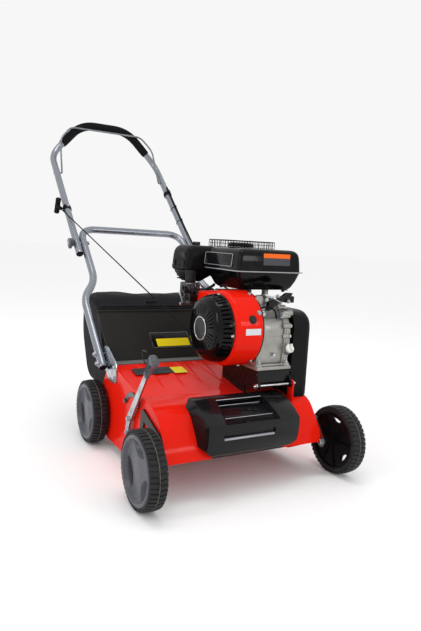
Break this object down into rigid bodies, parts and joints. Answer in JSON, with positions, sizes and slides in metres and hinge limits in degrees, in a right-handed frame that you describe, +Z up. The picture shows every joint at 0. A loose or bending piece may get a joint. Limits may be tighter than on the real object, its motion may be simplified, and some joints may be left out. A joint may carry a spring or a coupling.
{
  "type": "petrol lawn aerator",
  "caption": "Walk-behind petrol lawn aerator: pressed deck over a bladed rotor, slant-handled, with a side-pull engine, belt drive, treaded wheels, depth lever and rear grass bag.",
  "frame": {"origin": "on the ground, in the middle of the whole machine in length and width", "axes": "+Z up, -Y the front where the nose of the deck is, +Y the rear where the user walks, +X the belt side"},
  "size_m": [0.629, 1.339, 1.0904],
  "materials": {
    "red_paint": "gloss",
    "black_plastic": "satin moulding",
    "black_steel": "satin",
    "zinc": "zinc plated",
    "grey_plastic": "satin moulding",
    "tread_rubber": "treaded rubber",
    "cast_metal": "as cast",
    "belt_rubber": "matte",
    "black_gloss": "gloss black",
    "handle_tube": "silver-grey coating",
    "foam": "closed-cell foam",
    "rope": "braided cord",
    "bag_fabric": "woven"
  },
  "bodies": {
    "frame": {"deck": "red_paint", "front_cover": "black_plastic", "engine_stand": "black_steel", "tie_rod": "zinc", "lever_quadrant": "zinc", "rear_axle": "zinc", "left_rotor_bearing": "cast_metal", "right_rotor_bearing": "cast_metal", "drive_belt": "belt_rubber", "belt_backplate": "black_steel", "belt_cover": "black_plastic", "crankcase": "cast_metal", "cylinder_head": "cast_metal", "fan_shroud": "red_paint", "starter_housing": "black_gloss", "fuel_tank": "black_gloss", "air_cleaner": "black_plastic", "carburettor": "cast_metal", "silencer": "black_steel", "silencer_guard": "black_steel", "left_handle_bracket": "zinc", "right_handle_bracket": "zinc", "lower_handle": "handle_tube", "starter_rope": "rope", "clutch_cable": "black_plastic", "flap_hinge_rod": "zinc"},
    "swing_frame": {"front_axle_frame": "zinc"},
    "front_left_wheel": {"front_left_hub": "grey_plastic", "front_left_tyre": "tread_rubber"},
    "front_right_wheel": {"front_right_hub": "grey_plastic", "front_right_tyre": "tread_rubber"},
    "rear_left_wheel": {"rear_left_hub": "grey_plastic", "rear_left_tyre": "tread_rubber"},
    "rear_right_wheel": {"rear_right_hub": "grey_plastic", "rear_right_tyre": "tread_rubber"},
    "depth_control": {"depth_lever": "zinc", "lever_grip": "grey_plastic"},
    "depth_link": {"lever_link": "zinc"},
    "rotor_body": {"rotor": "zinc", "rotor_pulley": "zinc"},
    "crank": {"crankshaft": "zinc", "engine_pulley": "zinc", "cooling_fan": "black_plastic"},
    "belt_tensioner": {"idler_arm": "zinc"},
    "idler": {"idler_pulley": "black_plastic"},
    "upper_loop": {"upper_handle": "handle_tube", "foam_grip": "foam", "rope_guide": "black_plastic", "cable_clip": "black_plastic"},
    "bail_body": {"bail": "zinc"},
    "left_knob": {"left_handle_knob": "grey_plastic"},
    "right_knob": {"right_handle_knob": "grey_plastic"},
    "grip": {"starter_grip": "black_plastic"},
    "flap": {"rear_flap": "black_plastic"},
    "grass_bag": {"bag_frame": "black_steel", "bag_cloth": "bag_fabric"},
    "cap": {"fuel_cap": "black_plastic"},
    "oil_stick": {"dipstick": "zinc"},
    "choke": {"choke_lever": "black_steel"},
    "throttle": {"throttle_lever": "zinc"}
  },
  "joints": [
    {"name": "swing_frame_tilt", "type": "hinge", "parent": "frame", "child": "swing_frame", "pos_m": [0, -0.433, 0.18], "axis": [-1, 0, 0], "range_deg": [0, 15.75]},
    {"name": "front_left_spin", "type": "hinge", "parent": "swing_frame", "child": "front_left_wheel", "pos_m": [-0.2915, -0.573, 0.095], "axis": [1, 0, 0], "continuous": true},
    {"name": "front_right_spin", "type": "hinge", "parent": "swing_frame", "child": "front_right_wheel", "pos_m": [0.2915, -0.573, 0.095], "axis": [1, 0, 0], "continuous": true},
    {"name": "rear_left_spin", "type": "hinge", "parent": "frame", "child": "rear_left_wheel", "pos_m": [-0.2635, -0.098, 0.095], "axis": [1, 0, 0], "continuous": true},
    {"name": "rear_right_spin", "type": "hinge", "parent": "frame", "child": "rear_right_wheel", "pos_m": [0.2635, -0.098, 0.095], "axis": [1, 0, 0], "continuous": true},
    {"name": "depth_lever_turn", "type": "hinge", "parent": "frame", "child": "depth_control", "pos_m": [-0.246, -0.359, 0.147], "axis": [-1, 0, 0], "range_deg": [0, 28]},
    {"name": "depth_link_turn", "type": "hinge", "parent": "depth_control", "child": "depth_link", "pos_m": [-0.242, -0.348, 0.107], "axis": [-1, 0, 0], "range_deg": [-28, 0]},
    {"name": "rotor_spin", "type": "hinge", "parent": "frame", "child": "rotor_body", "pos_m": [0, -0.343, 0.095], "axis": [1, 0, 0], "continuous": true},
    {"name": "crank_spin", "type": "hinge", "parent": "frame", "child": "crank", "pos_m": [0.1, -0.413, 0.394], "axis": [1, 0, 0], "continuous": true},
    {"name": "belt_tensioner_turn", "type": "hinge", "parent": "frame", "child": "belt_tensioner", "pos_m": [0.19, -0.301, 0.376], "axis": [1, 0, 0], "range_deg": [0, 10.1]},
    {"name": "idler_spin", "type": "hinge", "parent": "belt_tensioner", "child": "idler", "pos_m": [0.204, -0.33078, 0.30602], "axis": [1, 0, 0], "continuous": true},
    {"name": "handle_fold", "type": "hinge", "parent": "frame", "child": "upper_loop", "pos_m": [0, 0.24335, 0.59598], "axis": [1, 0, 0], "range_deg": [0, 120], "deforming": ["starter_rope", "clutch_cable"]},
    {"name": "bail_turn", "type": "hinge", "parent": "upper_loop", "child": "bail_body", "pos_m": [0, 0.5354, 0.8589], "axis": [-1, 0, 0], "range_deg": [-28, 0]},
    {"name": "left_knob_turn", "type": "hinge", "parent": "upper_loop", "child": "left_knob", "pos_m": [-0.23, 0.24335, 0.59598], "axis": [1, 0, 0], "continuous": true},
    {"name": "right_knob_turn", "type": "hinge", "parent": "upper_loop", "child": "right_knob", "pos_m": [0.23, 0.24335, 0.59598], "axis": [1, 0, 0], "continuous": true},
    {"name": "starter_pull", "type": "slide", "parent": "upper_loop", "child": "grip", "axis": [-0.244, 0.878, 0.4118], "range_m": [0, 0.45], "stiffness_N_per_m": 40, "deforming": ["starter_rope"]},
    {"name": "flap_turn", "type": "hinge", "parent": "frame", "child": "flap", "pos_m": [0, -0.163, 0.252], "axis": [1, 0, 0], "range_deg": [0, 30]},
    {"name": "bag_slide", "type": "slide", "parent": "frame", "child": "grass_bag", "axis": [0, 1, 0], "range_m": [0, 0.35]},
    {"name": "fuel_cap_turn", "type": "hinge", "parent": "frame", "child": "cap", "pos_m": [0.084, -0.337, 0.62], "axis": [0, 0, 1], "range_deg": [0, 90]},
    {"name": "dipstick_slide", "type": "slide", "parent": "frame", "child": "oil_stick", "axis": [0, -0.8829, 0.4695], "range_m": [0, 0.05]},
    {"name": "choke_turn", "type": "hinge", "parent": "frame", "child": "choke", "pos_m": [-0.05, -0.24708, 0.48816], "axis": [-1, 0, 0], "range_deg": [0, 60]},
    {"name": "throttle_turn", "type": "hinge", "parent": "frame", "child": "throttle", "pos_m": [-0.05, -0.22884, 0.46792], "axis": [-1, 0, 0], "range_deg": [0, 35]}
  ],
  "couplings": [
    {"joint": "swing_frame_tilt", "follows": "depth_lever_turn", "ratio": 0.561},
    {"joint": "depth_link_turn", "follows": "depth_lever_turn", "ratio": -1},
    {"joint": "crank_spin", "follows": "rotor_spin", "ratio": 1.2857},
    {"joint": "belt_tensioner_turn", "follows": "bail_turn", "ratio": -0.357}
  ]
}
